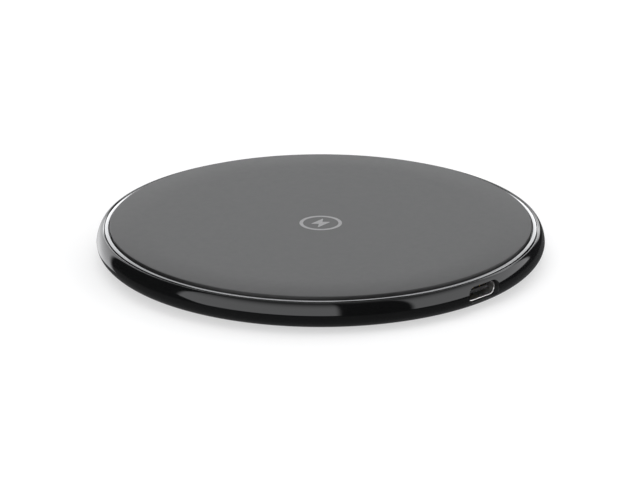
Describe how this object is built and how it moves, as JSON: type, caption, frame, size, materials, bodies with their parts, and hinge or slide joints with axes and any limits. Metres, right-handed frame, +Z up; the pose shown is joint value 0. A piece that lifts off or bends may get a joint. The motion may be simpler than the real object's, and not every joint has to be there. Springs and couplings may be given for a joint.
{
  "type": "wireless charging pad",
  "caption": "Low round wireless charging pad with a matte top face in a bright trim ring, a glossy rounded rim and a USB-C receptacle in its side.",
  "frame": {"origin": "centre of the pad, on the surface that it stands on", "axes": "+Z up out of the charging face, the USB-C receptacle opens towards -Y, +X to the right seen from the receptacle's side"},
  "size_m": [0.1, 0.0997, 0.008],
  "materials": {
    "top_cover": "fine matte soft-touch texture",
    "mark_ink": "printed, matte",
    "trim_ring": "polished bevel",
    "base_shell": "high gloss black",
    "top_frame": "plain moulded",
    "adhesive": "double-sided tissue tape",
    "foot_silicone": "matte silicone",
    "screw_steel": "nickel plated",
    "board": "solder mask",
    "port_steel": "tin plated stamping",
    "port_insulator": "moulded LCP",
    "contact_gold": "gold flashed copper alloy",
    "coil_copper": "enamelled litz wire",
    "coil_film": "amber polyimide film",
    "ferrite": "sintered, dull",
    "foam": "closed-cell foam",
    "chip_black": "moulded epoxy",
    "chip_ceramic": "sintered ceramic, tinned ends"
  },
  "bodies": {
    "root": {"base_shell": "base_shell", "top_frame": "top_frame", "top_cover": "top_cover", "trim_ring": "trim_ring", "cover_adhesive": "adhesive", "foot_ring": "foot_silicone", "foot_adhesive": "adhesive", "case_screw_1": "screw_steel", "case_screw_2": "screw_steel", "case_screw_3": "screw_steel", "case_screw_4": "screw_steel", "main_board": "board", "usb_shell": "port_steel", "usb_insulator": "port_insulator", "usb_contact_1": "contact_gold", "usb_contact_2": "contact_gold", "usb_contact_3": "contact_gold", "usb_contact_4": "contact_gold", "usb_contact_5": "contact_gold", "usb_contact_6": "contact_gold", "tx_coil": "coil_copper", "coil_lead_inner": "coil_copper", "coil_lead_outer": "coil_copper", "coil_film": "coil_film", "ferrite_shield": "ferrite", "foam_pad": "foam", "thermistor": "chip_black", "controller_ic": "chip_black", "bridge_mosfet_1": "chip_black", "bridge_mosfet_2": "chip_black", "resonant_capacitor_1": "chip_ceramic", "resonant_capacitor_2": "chip_ceramic", "resonant_capacitor_3": "chip_ceramic", "resonant_capacitor_4": "chip_ceramic", "input_capacitor_1": "chip_ceramic", "input_capacitor_2": "chip_ceramic", "input_capacitor_3": "chip_ceramic", "filter_inductor": "ferrite", "sense_resistor": "chip_black", "voltage_regulator": "chip_black"}
  },
  "joints": []
}
